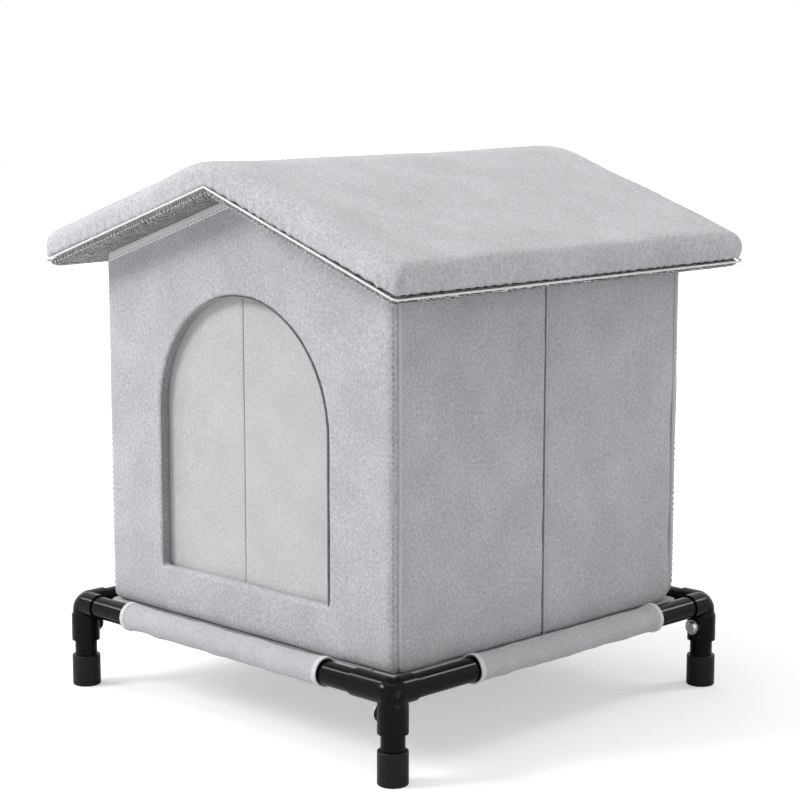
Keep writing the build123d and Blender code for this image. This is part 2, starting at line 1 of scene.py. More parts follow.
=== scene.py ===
import math

import bpy
import numpy as np
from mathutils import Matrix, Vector


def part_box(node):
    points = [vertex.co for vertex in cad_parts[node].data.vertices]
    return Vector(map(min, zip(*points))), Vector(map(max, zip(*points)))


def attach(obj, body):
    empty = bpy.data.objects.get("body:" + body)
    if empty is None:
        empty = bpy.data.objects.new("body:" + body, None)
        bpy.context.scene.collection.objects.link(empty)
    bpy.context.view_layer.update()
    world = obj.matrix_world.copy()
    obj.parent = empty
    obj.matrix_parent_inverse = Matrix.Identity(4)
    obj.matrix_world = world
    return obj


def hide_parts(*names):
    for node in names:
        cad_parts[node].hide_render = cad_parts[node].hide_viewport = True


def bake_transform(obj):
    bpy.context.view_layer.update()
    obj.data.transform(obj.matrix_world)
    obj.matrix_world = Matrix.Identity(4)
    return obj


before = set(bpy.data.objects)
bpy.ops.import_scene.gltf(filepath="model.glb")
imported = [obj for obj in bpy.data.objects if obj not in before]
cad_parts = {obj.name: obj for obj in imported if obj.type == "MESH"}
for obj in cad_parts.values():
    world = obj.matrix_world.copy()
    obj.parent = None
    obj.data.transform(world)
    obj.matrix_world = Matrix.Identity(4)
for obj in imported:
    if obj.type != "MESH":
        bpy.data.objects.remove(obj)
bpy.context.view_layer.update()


# Small helpers

def clearSelection():
    if bpy.context.object and bpy.context.object.mode != "OBJECT":
        bpy.ops.object.mode_set(mode="OBJECT")
    bpy.ops.object.select_all(action="DESELECT")


def pick(piece):
    clearSelection()
    piece.select_set(True)
    bpy.context.view_layer.objects.active = piece


def useModifier(piece, kind, **values):
    pick(piece)
    step = piece.modifiers.new(kind.title(), kind)
    for name, value in values.items():
        setattr(step, name, value)
    bpy.ops.object.modifier_apply(modifier=step.name)


def placeInMesh(piece):
    pick(piece)
    bpy.ops.object.transform_apply(location=True, rotation=True, scale=True)


def smoothShade(piece, degrees=40):
    pick(piece)
    bpy.ops.object.shade_smooth_by_angle(angle=math.radians(degrees))


def readPoints(piece):
    points = np.empty(len(piece.data.vertices) * 3, np.float32)
    piece.data.vertices.foreach_get("co", points)
    return points.reshape(-1, 3).astype(float)


def writePoints(piece, points):
    piece.data.vertices.foreach_set("co", points.astype(np.float32).ravel())
    piece.data.update()


def readNormals(piece):
    normals = np.empty(len(piece.data.vertices) * 3, np.float32)
    piece.data.vertex_normals.foreach_get("vector", normals)
    return normals.reshape(-1, 3).astype(float)


def unevenness(points, size, seed, waves=11):
    # gentle bumps between about -1 and 1, from crossed waves of one rough size
    dice = np.random.default_rng(seed)
    total = np.zeros(len(points))
    for _ in range(waves):
        direction = dice.normal(size=3)
        direction /= np.linalg.norm(direction)
        turns = 2 * math.pi / (size * dice.uniform(0.6, 1.7))
        total += np.sin(points @ direction * turns + dice.uniform(0, 2 * math.pi))
    return total / math.sqrt(waves) / 1.5


def fade(values, start, end):
    # 0 before start, 1 after end, smooth between
    share = np.clip((values - start) / (end - start), 0, 1)
    return share * share * (3 - 2 * share)


def joinTogether(pieces, pieceName):
    clearSelection()
    for piece in pieces:
        piece.select_set(True)
    bpy.context.view_layer.objects.active = pieces[0]
    if len(pieces) > 1:
        bpy.ops.object.join()
    joined = bpy.context.object
    joined.name = pieceName
    return joined


def copyOfNodes(pieceName, nodeNames):
    # one merged mesh of some CAD nodes, to be worked on
    copies = []
    for nodeName in nodeNames:
        copy = bpy.data.objects.new(pieceName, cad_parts[nodeName].data.copy())
        bpy.context.scene.collection.objects.link(copy)
        copies.append(copy)
    piece = joinTogether(copies, pieceName)
    piece.data.materials.clear()
    bpy.ops.object.mode_set(mode="EDIT")
    bpy.ops.mesh.select_all(action="SELECT")
    bpy.ops.mesh.remove_doubles(threshold=0.00002)
    bpy.ops.object.mode_set(mode="OBJECT")
    return piece


def dress(piece, material, body, slot, *replaced):
    piece.data.materials.clear()
    piece.data.materials.append(material)
    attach(piece, body)
    if replaced:
        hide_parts(*replaced)


# Camera, lights and floor

cameraSettings = {
    "azimuth": 45.1,
    "elevation": 9.2,
    "distance": 2.2,
    "aimHeight": 0.2871,
    "lens": 100.0,
    "shiftX": 0.0081,
    "shiftY": 0.0035,
}


def setCamera():
    side = math.radians(cameraSettings["azimuth"])
    up = math.radians(cameraSettings["elevation"])
    aim = Vector((0, 0, cameraSettings["aimHeight"]))
    away = Vector((math.sin(side) * math.cos(up), -math.cos(side) * math.cos(up), math.sin(up)))
    bpy.ops.object.camera_add(location=aim + away * cameraSettings["distance"])
    camera = bpy.context.object
    camera.rotation_euler = (-away).to_track_quat("-Z", "Y").to_euler()
    camera.data.sensor_width = 36
    camera.data.lens = cameraSettings["lens"]
    camera.data.shift_x = cameraSettings["shiftX"]
    camera.data.shift_y = cameraSettings["shiftY"]
    camera.data.clip_start = 0.05
    camera.data.clip_end = 60
    bpy.context.scene.camera = camera


softBoxes = {
    "frontLeftBox": {"place": (-1.5, -2.5, 2.3), "aim": (0, 0, 0.25),
                     "width": 1.1, "height": 1.1, "watts": 70},
    "rightFillBox": {"place": (2.8, -0.6, 0.9), "aim": (0, 0, 0.25),
                     "width": 1.2, "height": 1.6, "watts": 9},
    "topBox": {"place": (-0.2, -0.2, 2.6), "aim": (0, 0, 0.3),
               "width": 2.2, "height": 1.6, "watts": 11},
    "leftStrip": {"place": (-1.54, -0.83, 1.54), "aim": (0, -0.2, 0.1),
                  "width": 0.3, "height": 1.0, "watts": 10},
    "backStrip": {"place": (0.83, 1.54, 1.54), "aim": (0.2, 0, 0.1),
                  "width": 0.3, "height": 1.0, "watts": 10},
}


def hangSoftBoxes():
    for name, box in softBoxes.items():
        bpy.ops.object.light_add(type="AREA", location=box["place"])
        lamp = bpy.context.object
        lamp.name = name
        towards = Vector(box["aim"]) - Vector(box["place"])
        lamp.rotation_euler = towards.to_track_quat("-Z", "Y").to_euler()
        lamp.data.shape = "RECTANGLE"
        lamp.data.size = box["width"]
        lamp.data.size_y = box["height"]
        lamp.data.energy = box["watts"]


roomSettings = {
    "ambient": 0.42,
    "seenWhite": 1.0,
    "floorSize": 16.0,
    "floorColour": (0.82, 0.82, 0.83, 1),
    "nearGlow": 0.4,
    "farGlow": 0.85,
    "nearReach": 0.35,
    "farReach": 1.6,
}


def makeRoom():
    world = bpy.data.worlds.new("whiteRoom")
    bpy.context.scene.world = world
    world.use_nodes = True
    nodes, links = world.node_tree.nodes, world.node_tree.links
    background = nodes["Background"]
    background.inputs["Color"].default_value = (1, 1, 1, 1)
    path = nodes.new("ShaderNodeLightPath")
    seen = nodes.new("ShaderNodeMath")
    seen.operation = "MAXIMUM"
    alsoThrough = nodes.new("ShaderNodeMath")
    alsoThrough.operation = "MAXIMUM"
    links.new(path.outputs["Is Camera Ray"], seen.inputs[0])
    links.new(path.outputs["Is Glossy Ray"], seen.inputs[1])
    links.new(seen.outputs[0], alsoThrough.inputs[0])
    links.new(path.outputs["Is Transmission Ray"], alsoThrough.inputs[1])
    level = nodes.new("ShaderNodeMapRange")
    level.inputs["To Min"].default_value = roomSettings["ambient"]
    level.inputs["To Max"].default_value = roomSettings["seenWhite"]
    links.new(alsoThrough.outputs[0], level.inputs["Value"])
    links.new(level.outputs["Result"], background.inputs["Strength"])

    bpy.ops.mesh.primitive_plane_add(size=roomSettings["floorSize"], location=(0, 0, 0))
    floor = bpy.context.object
    floor.name = "paleFloor"
    material = bpy.data.materials.new("paleFloor")
    material.use_nodes = True
    nodes, links = material.node_tree.nodes, material.node_tree.links
    shader = nodes["Principled BSDF"]
    shader.inputs["Base Color"].default_value = roomSettings["floorColour"]
    shader.inputs["Roughness"].default_value = 0.9
    shader.inputs["Specular IOR Level"].default_value = 0.1
    shader.inputs["Emission Color"].default_value = (1, 1, 1, 1)
    path = nodes.new("ShaderNodeLightPath")
    place = nodes.new("ShaderNodeTexCoord")
    away = nodes.new("ShaderNodeVectorMath")
    away.operation = "LENGTH"
    links.new(place.outputs["Object"], away.inputs[0])
    rise = nodes.new("ShaderNodeMapRange")
    rise.inputs["From Min"].default_value = roomSettings["nearReach"]
    rise.inputs["From Max"].default_value = roomSettings["farReach"]
    rise.inputs["To Min"].default_value = roomSettings["nearGlow"]
    rise.inputs["To Max"].default_value = roomSettings["farGlow"]
    links.new(away.outputs["Value"], rise.inputs["Value"])
    glow = nodes.new("ShaderNodeMath")
    glow.operation = "MULTIPLY"
    links.new(rise.outputs["Result"], glow.inputs[1])
    links.new(path.outputs["Is Camera Ray"], glow.inputs[0])
    links.new(glow.outputs[0], shader.inputs["Emission Strength"])
    floor.data.materials.append(material)


setCamera()
hangSoftBoxes()
makeRoom()
bpy.context.scene.view_settings.view_transform = "Standard"
print("camera, lamps and floor are set")


# Shader groups that several finishes share

def addSockets(group, inputs, outputs):
    for name, value in inputs:
        socket = group.interface.new_socket(name=name, in_out="INPUT", socket_type="NodeSocketFloat")
        socket.default_value = value
    for name in outputs:
        group.interface.new_socket(name=name, in_out="OUTPUT", socket_type="NodeSocketFloat")
    return group.nodes.new("NodeGroupInput"), group.nodes.new("NodeGroupOutput")


def mathNode(tree, operation, first, second):
    node = tree.nodes.new("ShaderNodeMath")
    node.operation = operation
    for slot, value in ((0, first), (1, second)):
        if isinstance(value, (int, float)):
            node.inputs[slot].default_value = value
        else:
            tree.links.new(value, node.inputs[slot])
    return node.outputs[0]


def noiseNode(tree, vector, scale, detail, roughness, distortion=0.0):
    node = tree.nodes.new("ShaderNodeTexNoise")
    node.inputs["Detail"].default_value = detail
    node.inputs["Roughness"].default_value = roughness
    node.inputs["Distortion"].default_value = distortion
    tree.links.new(vector, node.inputs["Vector"])
    if isinstance(scale, (int, float)):
        node.inputs["Scale"].default_value = scale
    else:
        tree.links.new(scale, node.inputs["Scale"])
    return node.outputs["Fac"]


def makeFeltGroup():
    # short matted fibres, a pebbled nap and slow patches of shade
    group = bpy.data.node_groups.new("feltNap", "ShaderNodeTree")
    sizes = [("Nap Size mm", 2.6), ("Fibre Size mm", 0.9), ("Patch Size mm", 45.0)]
    given, result = addSockets(group, sizes, ["Shade", "Height"])
    place = group.nodes.new("ShaderNodeTexCoord").outputs["Object"]
    napScale = mathNode(group, "DIVIDE", 1000.0, given.outputs["Nap Size mm"])
    fibreScale = mathNode(group, "DIVIDE", 1000.0, given.outputs["Fibre Size mm"])
    patchScale = mathNode(group, "DIVIDE", 1000.0, given.outputs["Patch Size mm"])
    nap = noiseNode(group, place, napScale, 2.0, 0.55, 0.35)
    fibre = noiseNode(group, place, fibreScale, 3.0, 0.7, 1.2)
    patch = noiseNode(group, place, patchScale, 2.0, 0.5)
    napPart = mathNode(group, "MULTIPLY", nap, 0.5)
    fibrePart = mathNode(group, "MULTIPLY", fibre, 0.32)
    patchPart = mathNode(group, "MULTIPLY", patch, 0.18)
    surface = mathNode(group, "ADD", napPart, fibrePart)
    group.links.new(mathNode(group, "ADD", surface, patchPart), result.inputs["Shade"])
    group.links.new(surface, result.inputs["Height"])
    return group


def makeWrinkleGroup():
    # short curling creases of gathered thin cloth; the crest mask paints highlights on the crests, and the
    # height drives the bump
    group = bpy.data.node_groups.new("curledCreases", "ShaderNodeTree")
    given, result = addSockets(group, [("Crease Spacing mm", 2.4), ("Curl", 8.0)], ["Crest", "Height"])
    place = group.nodes.new("ShaderNodeTexCoord").outputs["Object"]
    wander = noiseNode(group, place, 85.0, 3.0, 0.6)
    across = group.nodes.new("ShaderNodeSeparateXYZ")
    group.links.new(place, across.inputs[0])
    spacing = mathNode(group, "DIVIDE", 2000.0 * math.pi, given.outputs["Crease Spacing mm"])
    phase = mathNode(group, "MULTIPLY", across.outputs["X"], spacing)
    bend = mathNode(group, "MULTIPLY", wander, mathNode(group, "MULTIPLY", given.outputs["Curl"], 3.0))
    wave = mathNode(group, "SINE", mathNode(group, "ADD", phase, bend), 0.0)
    breaks = noiseNode(group, place, 340.0, 3.0, 0.65, 1.2)
    crest = mathNode(group, "MULTIPLY", mathNode(group, "ADD", wave, 1.0), 0.5)
    mixed = mathNode(group, "MULTIPLY", crest, mathNode(group, "MULTIPLY", breaks, 1.9))
    group.links.new(mathNode(group, "POWER", mixed, 1.7), result.inputs["Crest"])
    group.links.new(mixed, result.inputs["Height"])
    return group


def makeHandlingGroup():
    # faint smears and dust on glossy black
    group = bpy.data.node_groups.new("handlingMarks", "ShaderNodeTree")
    given, result = addSockets(group, [("Smear Size mm", 28.0), ("Grain Size mm", 0.7)], ["Smear", "Grain"])
    place = group.nodes.new("ShaderNodeTexCoord").outputs["Object"]
    smearScale = mathNode(group, "DIVIDE", 1000.0, given.outputs["Smear Size mm"])
    grainScale = mathNode(group, "DIVIDE", 1000.0, given.outputs["Grain Size mm"])
    group.links.new(noiseNode(group, place, smearScale, 4.0, 0.6, 0.8), result.inputs["Smear"])
    group.links.new(noiseNode(group, place, grainScale, 2.0, 0.5), result.inputs["Grain"])
    return group


feltNap = makeFeltGroup()
curledCreases = makeWrinkleGroup()
handlingMarks = makeHandlingGroup()


# Finishes

def newMaterial(name):
    material = bpy.data.materials.new(name)
    material.use_nodes = True
    return material, material.node_tree, material.node_tree.nodes["Principled BSDF"]


def placeGroup(tree, group, **values):
    node = tree.nodes.new("ShaderNodeGroup")
    node.node_tree = group
    for name, value in values.items():
        node.inputs[name.replace("_", " ")].default_value = value
    return node


def colourBetween(tree, shader, mask, dark, light, low, high):
    spread = tree.nodes.new("ShaderNodeMapRange")
    spread.inputs["From Min"].default_value = low
    spread.inputs["From Max"].default_value = high
    tree.links.new(mask, spread.inputs["Value"])
    blend = tree.nodes.new("ShaderNodeMix")
    blend.data_type = "RGBA"
    blend.inputs[6].default_value = (*dark, 1)
    blend.inputs[7].default_value = (*light, 1)
    tree.links.new(spread.outputs["Result"], blend.inputs[0])
    tree.links.new(blend.outputs[2], shader.inputs["Base Color"])
    return blend


def bumpFrom(tree, shader, height, strength, distance):
    bump = tree.nodes.new("ShaderNodeBump")
    bump.inputs["Strength"].default_value = strength
    bump.inputs["Distance"].default_value = distance
    tree.links.new(height, bump.inputs["Height"])
    tree.links.new(bump.outputs["Normal"], shader.inputs["Normal"])
    return bump


def makeFelt(name, dark, light, napSize=2.6, fibreSize=0.9, depth=0.0016, strength=0.75):
    material, tree, shader = newMaterial(name)
    nap = placeGroup(tree, feltNap, Nap_Size_mm=napSize, Fibre_Size_mm=fibreSize)
    colourBetween(tree, shader, nap.outputs["Shade"], dark, light, 0.4, 0.62)
    bumpFrom(tree, shader, nap.outputs["Height"], strength, depth)
    shader.inputs["Roughness"].default_value = 0.95
    shader.inputs["Specular IOR Level"].default_value = 0.15
    shader.inputs["Sheen Weight"].default_value = 0.22
    shader.inputs["Sheen Roughness"].default_value = 0.6
    return material


def makeLining():
    material, tree, shader = newMaterial("gatheredLining")
    creases = placeGroup(tree, curledCreases)
    # pale crests are painted highlights of the shiny creases; the near-black is the lining's own colour
    colourBetween(tree, shader, creases.outputs["Crest"], (0.03, 0.03, 0.034), (0.78, 0.78, 0.8), 0.2, 0.85)
    bumpFrom(tree, shader, creases.outputs["Height"], 0.8, 0.0012)
    shader.inputs["Roughness"].default_value = 0.5
    shader.inputs["Sheen Weight"].default_value = 0.1
    return material


def makeBlack(name, base, roughLow, roughHigh, bumpDepth, shine):
    material, tree, shader = newMaterial(name)
    marks = placeGroup(tree, handlingMarks)
    shader.inputs["Base Color"].default_value = (*base, 1)
    spread = tree.nodes.new("ShaderNodeMapRange")
    spread.inputs["From Min"].default_value = 0.35
    spread.inputs["From Max"].default_value = 0.7
    spread.inputs["To Min"].default_value = roughLow
    spread.inputs["To Max"].default_value = roughHigh
    tree.links.new(marks.outputs["Smear"], spread.inputs["Value"])
    tree.links.new(spread.outputs["Result"], shader.inputs["Roughness"])
    bumpFrom(tree, shader, marks.outputs["Grain"], 0.25, bumpDepth)
    shader.inputs["Specular IOR Level"].default_value = shine
    return material


def makeSteel():
    material, tree, shader = newMaterial("zincScrew")
    marks = placeGroup(tree, handlingMarks, Smear_Size_mm=3.0, Grain_Size_mm=0.3)
    colourBetween(tree, shader, marks.outputs["Smear"], (0.5, 0.5, 0.5), (0.82, 0.82, 0.81), 0.3, 0.7)
    bumpFrom(tree, shader, marks.outputs["Grain"], 0.3, 0.00008)
    shader.inputs["Metallic"].default_value = 1.0
    shader.inputs["Roughness"].default_value = 0.28
    return material


feltColours = {
    "wall": ((0.40, 0.40, 0.42), (0.62, 0.62, 0.65)),
    "roof": ((0.43, 0.43, 0.45), (0.65, 0.65, 0.68)),
    "curtain": ((0.45, 0.45, 0.465), (0.60, 0.60, 0.615)),
    # dark binding grey, darkened further as painted shade of the doorway's reveal
    "revealBindingShade": ((0.2, 0.2, 0.205), (0.38, 0.38, 0.39)),
    "sleeve": ((0.43, 0.43, 0.45), (0.58, 0.58, 0.60)),
    "hem": ((0.58, 0.58, 0.59), (0.76, 0.76, 0.77)),
    # pale tape grey, lifted with painted light so the strip stands bright under the eave's shade
    "tape": ((0.70, 0.70, 0.71), (0.86, 0.86, 0.87)),
    "deck": ((0.40, 0.40, 0.41), (0.54, 0.54, 0.55)),
}

wallFelt = makeFelt("wallFelt", *feltColours["wall"])
roofFelt = makeFelt("roofFelt", *feltColours["roof"])
curtainFelt = makeFelt("curtainFelt", *feltColours["curtain"], napSize=2.0, depth=0.0005)
sleeveFelt = makeFelt("sleeveFelt", *feltColours["sleeve"], napSize=2.2)
hemFelt = makeFelt("hemFelt", *feltColours["hem"], napSize=1.6, depth=0.0003)
tapeFelt = makeFelt("tapeFelt", *feltColours["tape"], napSize=1.2, fibreSize=0.5, depth=0.0002)
revealBindingShadeFelt = makeFelt("revealBindingShadeFelt", *feltColours["revealBindingShade"], napSize=2.2, depth=0.0006)
deckFelt = makeFelt("deckFelt", *feltColours["deck"])
hookTape = makeFelt("hookTape", (0.2, 0.2, 0.21), (0.34, 0.34, 0.35),
                    napSize=0.8, fibreSize=0.3, depth=0.0004)
whitePiping = makeFelt("whitePiping", (0.74, 0.74, 0.74), (0.9, 0.9, 0.9),
                       napSize=0.9, fibreSize=0.35, depth=0.00025)
greyPiping = makeFelt("greyPiping", (0.48, 0.48, 0.49), (0.62, 0.62, 0.63),
                      napSize=0.9, fibreSize=0.35, depth=0.00025)
seamThread = makeFelt("seamThread", (0.17, 0.17, 0.18), (0.28, 0.28, 0.29),
                      napSize=0.5, fibreSize=0.2, depth=0.0001)
paleThread = makeFelt("paleThread", (0.62, 0.62, 0.62), (0.84, 0.84, 0.84),
                      napSize=0.5, fibreSize=0.2, depth=0.0001)
darkLining = makeLining()
glossTube = makeBlack("glossTube", (0.002, 0.002, 0.0022), 0.07, 0.17, 0.00003, 0.14)
mouldedBlack = makeBlack("mouldedBlack", (0.0025, 0.0025, 0.0028), 0.09, 0.2, 0.00005, 0.14)
footBlack = makeBlack("footBlack", (0.006, 0.0065, 0.0075), 0.3, 0.46, 0.00012, 0.22)
zincScrew = makeSteel()
print("finishes are ready")


# Frame: the CAD tubes, connectors, feet and screws get their finish

frameFinishes = {
    "rail_": (glossTube, 35),
    "leg_screws": (zincScrew, 30),
    "screw_washers": (zincScrew, 30),
    "leg_": (glossTube, 35),
    "connector_": (mouldedBlack, 38),
    "foot_": (footBlack, 30),
    "floor_hook_strips": (hookTape, 30),
}

for nodeName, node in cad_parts.items():
    for start, (material, degrees) in frameFinishes.items():
        if nodeName.startswith(start):
            node.data.materials.clear()
            node.data.materials.append(material)
            break
print("frame finished")


# Walls: felt over boards, one soft piece each

boardSettings = {"voxel": 0.0022, "softenSteps": 3, "unevenSize": 0.06, "unevenDepth": 0.00055}


def feltBoard(pieceName, nodeName, body, seed):
    piece = copyOfNodes(pieceName, [nodeName])
    useModifier(piece, "REMESH", mode="VOXEL", voxel_size=boardSettings["voxel"], use_smooth_shade=True)
    useModifier(piece, "SMOOTH", factor=0.5, iterations=boardSettings["softenSteps"])
    points = readPoints(piece)
    bumps = unevenness(points, boardSettings["unevenSize"], seed)
    writePoints(piece, points + readNormals(piece) * (bumps * boardSettings["unevenDepth"])[:, None])
    dress(piece, wallFelt, body, "wall_cloth", nodeName)
    return piece


wallBoards = {
    "frontWall": ("front_wall", "frame"),
    "backWall": ("back_wall", "back_wall"),
    "rightFrontPanel": ("right_front_panel", "right_front_wall"),
    "rightRearPanel": ("right_rear_panel", "right_rear_wall"),
    "leftFrontPanel": ("left_front_panel", "left_front_wall"),
    "leftRearPanel": ("left_rear_panel", "left_rear_wall"),
}

for seed, (pieceName, (nodeName, body)) in enumerate(wallBoards.items()):
    feltBoard(pieceName, nodeName, body, seed + 3)
print("walls are covered")


# Roof: one padded cover over both slopes, its lining and the cord along its lower edge

roofSettings = {
    "halfWidth": 0.243,
    "halfDepth": 0.241,
    "eaveHeight": 0.4279,
    "ridgeHeight": 0.511,
    "padVoxel": 0.0046,
    "padPressure": 2.2,
    "padFrames": 14,
    "padMost": 0.0022,
    "puckerDepth": 0.0005,
    "puckerSpacing": 0.013,
    "padCorner": 0.02,
    "liningInset": 0.002,
    "liningCorner": 0.016,
    "liningVoxel": 0.0028,
    "liningFoldSize": 0.011,
    "liningFoldDepth": 0.0007,
    "wallReach": 0.203,
    "squareness": 9,
    "cordCorner": 0.005,
    "cordRadius": 0.00098,
    "rimReach": 0.0017,
    "rimDrop": 0.0008,
}
roofPitch = math.atan2(roofSettings["ridgeHeight"] - roofSettings["eaveHeight"], roofSettings["halfWidth"])
slopeLength = roofSettings["halfWidth"] / math.cos(roofPitch)


def joinedAtRidge(pieceName, nodeNames, gap=0.0006):
    # the two halves without their faces at the ridge, welded into one
    piece = copyOfNodes(pieceName, nodeNames)
    middles = np.array([face.center for face in piece.data.polygons])
    sideways = np.array([abs(face.normal.x) for face in piece.data.polygons])
    atRidge = (np.abs(middles[:, 0]) < gap) & (sideways > 0.95)
    bpy.ops.object.mode_set(mode="EDIT")
    bpy.ops.mesh.select_all(action="DESELECT")
    bpy.ops.object.mode_set(mode="OBJECT")
    piece.data.polygons.foreach_set("select", atRidge)
    bpy.ops.object.mode_set(mode="EDIT")
    bpy.ops.mesh.select_mode(type="FACE")
    bpy.ops.mesh.delete(type="FACE")
    bpy.ops.mesh.select_all(action="SELECT")
    bpy.ops.mesh.remove_doubles(threshold=gap)
    bpy.ops.object.mode_set(mode="OBJECT")
    return piece


def swell(piece, pressure, frames, most):
    # lets the cloth of a pad fill out, then limits how far each point has moved
    start = readPoints(piece)
    pick(piece)
    cloth = piece.modifiers.new("Cloth", "CLOTH")
    cloth.settings.quality = 5
    cloth.settings.use_pressure = True
    cloth.settings.uniform_pressure_force = pressure
    cloth.settings.tension_stiffness = 15
    cloth.settings.compression_stiffness = 15
    cloth.settings.bending_stiffness = 0.5
    cloth.settings.effector_weights.gravity = 0
    scene = bpy.context.scene
    for step in range(1, frames + 1):
        scene.frame_set(step)
    bpy.ops.object.modifier_apply(modifier=cloth.name)
    scene.frame_set(1)
    moved = readPoints(piece) - start
    length = np.linalg.norm(moved, axis=1)
    share = most * np.tanh(length / most) / np.maximum(length, 1e-9)
    writePoints(piece, start + moved * share[:, None])


def slopePlace(points):
    # how far each point is from the ridge along the slope, and above the roof's lower face
    down = np.abs(points[:, 0]) * math.cos(roofPitch)
    down += (roofSettings["ridgeHeight"] - points[:, 2]) * math.sin(roofPitch)
    above = (points[:, 2] - roofSettings["ridgeHeight"]) * math.cos(roofPitch)
    above += np.abs(points[:, 0]) * math.sin(roofPitch)
    return down, above


def alongSlope(points, outward, sideways=0):
    # the same points moved down the slope and along the ridge
    side = np.sign(points[:, 0])
    moved = points.copy()
    moved[:, 0] += side * outward * math.cos(roofPitch)
    moved[:, 2] -= outward * math.sin(roofPitch)
    moved[:, 1] += np.sign(points[:, 1]) * sideways
    return moved


def squareCorners(points, length, depth, radius):
    # fills a rounded corner out until it is nearly square, as the sewn cover is
    down, _ = slopePlace(points)
    overLength = np.maximum(down - (length - radius), 0)
    overDepth = np.maximum(np.abs(points[:, 1]) - (depth - radius), 0)
    reach = np.hypot(overLength, overDepth)
    safe = np.maximum(reach, 1e-9)
    power = roofSettings["squareness"]
    stretch = ((overLength / safe) ** power + (overDepth / safe) ** power + 1e-12) ** (-1 / power)
    stretch = np.where((overLength > 0) & (overDepth > 0), stretch, 1)
    return alongSlope(points, overLength * (stretch - 1), overDepth * (stretch - 1))


def makeRoofCover():
    piece = joinedAtRidge("roofCover", ["roof_right", "roof_left"])
    useModifier(piece, "REMESH", mode="VOXEL", voxel_size=roofSettings["padVoxel"], use_smooth_shade=True)
    useModifier(piece, "SMOOTH", factor=0.5, iterations=3)
    writePoints(piece, squareCorners(readPoints(piece), slopeLength, roofSettings["halfDepth"],
                                     roofSettings["padCorner"]))
    swell(piece, roofSettings["padPressure"], roofSettings["padFrames"], roofSettings["padMost"])
    useModifier(piece, "SUBSURF", levels=1, render_levels=1)
    points, normals = readPoints(piece), readNormals(piece)
    down, above = slopePlace(points)
    fromEnd, fromEave = roofSettings["halfDepth"] - np.abs(points[:, 1]), slopeLength - down
    fromSide = np.minimum(fromEnd, fromEave)
    nearEdge = 1 - fade(fromSide, 0.002, 0.03)
    lowOnPad = 1 - fade(above, 0.004, 0.022)
    along = points[:, 1] + np.sign(points[:, 0]) * points[:, 0]
    wobble = unevenness(points, 0.03, 21)
    puckers = np.sin(along * 2 * math.pi / roofSettings["puckerSpacing"] + wobble * 2.5)
    puckers *= roofSettings["puckerDepth"] * nearEdge * lowOnPad
    slow = unevenness(points, 0.09, 22) * 0.0006 * fade(above, 0.004, 0.02)
    points += normals * (puckers + slow)[:, None]
    rim = (1 - fade(above, 0.001, 0.01)) * roofSettings["rimReach"]
    outToEave = rim * (1 - fade(fromEave, 0.002, 0.012))
    outToEnd = rim * (1 - fade(fromEnd, 0.002, 0.012))
    points = alongSlope(points, outToEave, outToEnd)
    lowRim = (1 - fade(above, 0.001, 0.008)) * (1 - fade(fromSide, 0.003, 0.012))
    points[:, 2] -= roofSettings["rimDrop"] * lowRim
    writePoints(piece, points)
    dress(piece, roofFelt, "roof_right", "roof_cloth", "roof_right", "roof_left")
    return piece


def makeRoofLining():
    piece = joinedAtRidge("roofLining", ["roof_lining_right", "roof_lining_left"])
    useModifier(piece, "REMESH", mode="VOXEL", voxel_size=roofSettings["liningVoxel"],
                use_smooth_shade=True)
    useModifier(piece, "SMOOTH", factor=0.5, iterations=3)
    inset = roofSettings["liningInset"]
    length, depth = slopeLength - inset, roofSettings["halfDepth"] - inset
    writePoints(piece, squareCorners(readPoints(piece), length, depth, roofSettings["liningCorner"]))
    points, normals = readPoints(piece), readNormals(piece)
    fromWall = np.maximum(np.abs(points[:, 0]), np.abs(points[:, 1])) - roofSettings["wallReach"]
    overhang = fade(fromWall, 0.0, 0.008) * (1 - fade(fromWall, 0.028, 0.036))
    folds = unevenness(points * np.array([1.0, 0.35, 1.0]), roofSettings["liningFoldSize"], 31)
    folds *= roofSettings["liningFoldDepth"]
    writePoints(piece, points + normals * (folds * overhang)[:, None])
    dress(piece, darkLining, "roof_right", "lining_cloth", "roof_lining_right", "roof_lining_left")
    return piece


def roofEdgeRoute(inset=0.0, drop=0.0):
    # the roof's lower edge as points, all the way round, in the plane of each slope
    radius = roofSettings["cordCorner"]
    length = slopeLength - inset
    depth = roofSettings["halfDepth"] - inset
    flat = [(0.0, -depth)]
    for step in range(1, 25):
        flat.append(((length - radius) * step / 25, -depth))
    for step in range(9):
        turn = math.radians(-90 + 90 * step / 8)
        flat.append((length - radius + radius * math.cos(turn), -depth + radius + radius * math.sin(turn)))
    for step in range(1, 40):
        flat.append((length, -depth + radius + 2 * (depth - radius) * step / 40))
    flat += [(u, -y) for u, y in reversed(flat[1:34])] + [(0.0, depth)]
    flat += [(-u, y) for u, y in reversed(flat[1:-1])]
    route = []
    for u, y in flat:
        x = u * math.cos(roofPitch)
        z = roofSettings["ridgeHeight"] - abs(u) * math.sin(roofPitch)
        side = 1 if u > 0 else -1 if u < 0 else 0
        route.append(Vector((x - side * drop * math.sin(roofPitch), y, z - drop * math.cos(roofPitch))))
    return route


def cordThrough(pieceName, route, radius, closed=False, sides=3):
    curve = bpy.data.curves.new(pieceName, "CURVE")
    curve.dimensions = "3D"
    curve.bevel_depth = radius
    curve.bevel_resolution = sides
    curve.use_fill_caps = not closed
    spline = curve.splines.new("POLY")
    spline.points.add(len(route) - 1)
    for spot, place in zip(spline.points, route):
        spot.co = (*place, 1)
    spline.use_cyclic_u = closed
    cord = bpy.data.objects.new(pieceName, curve)
    bpy.context.scene.collection.objects.link(cord)
    pick(cord)
    bpy.ops.object.convert(target="MESH")
    cord = bpy.context.object
    smoothShade(cord, 60)
    return cord


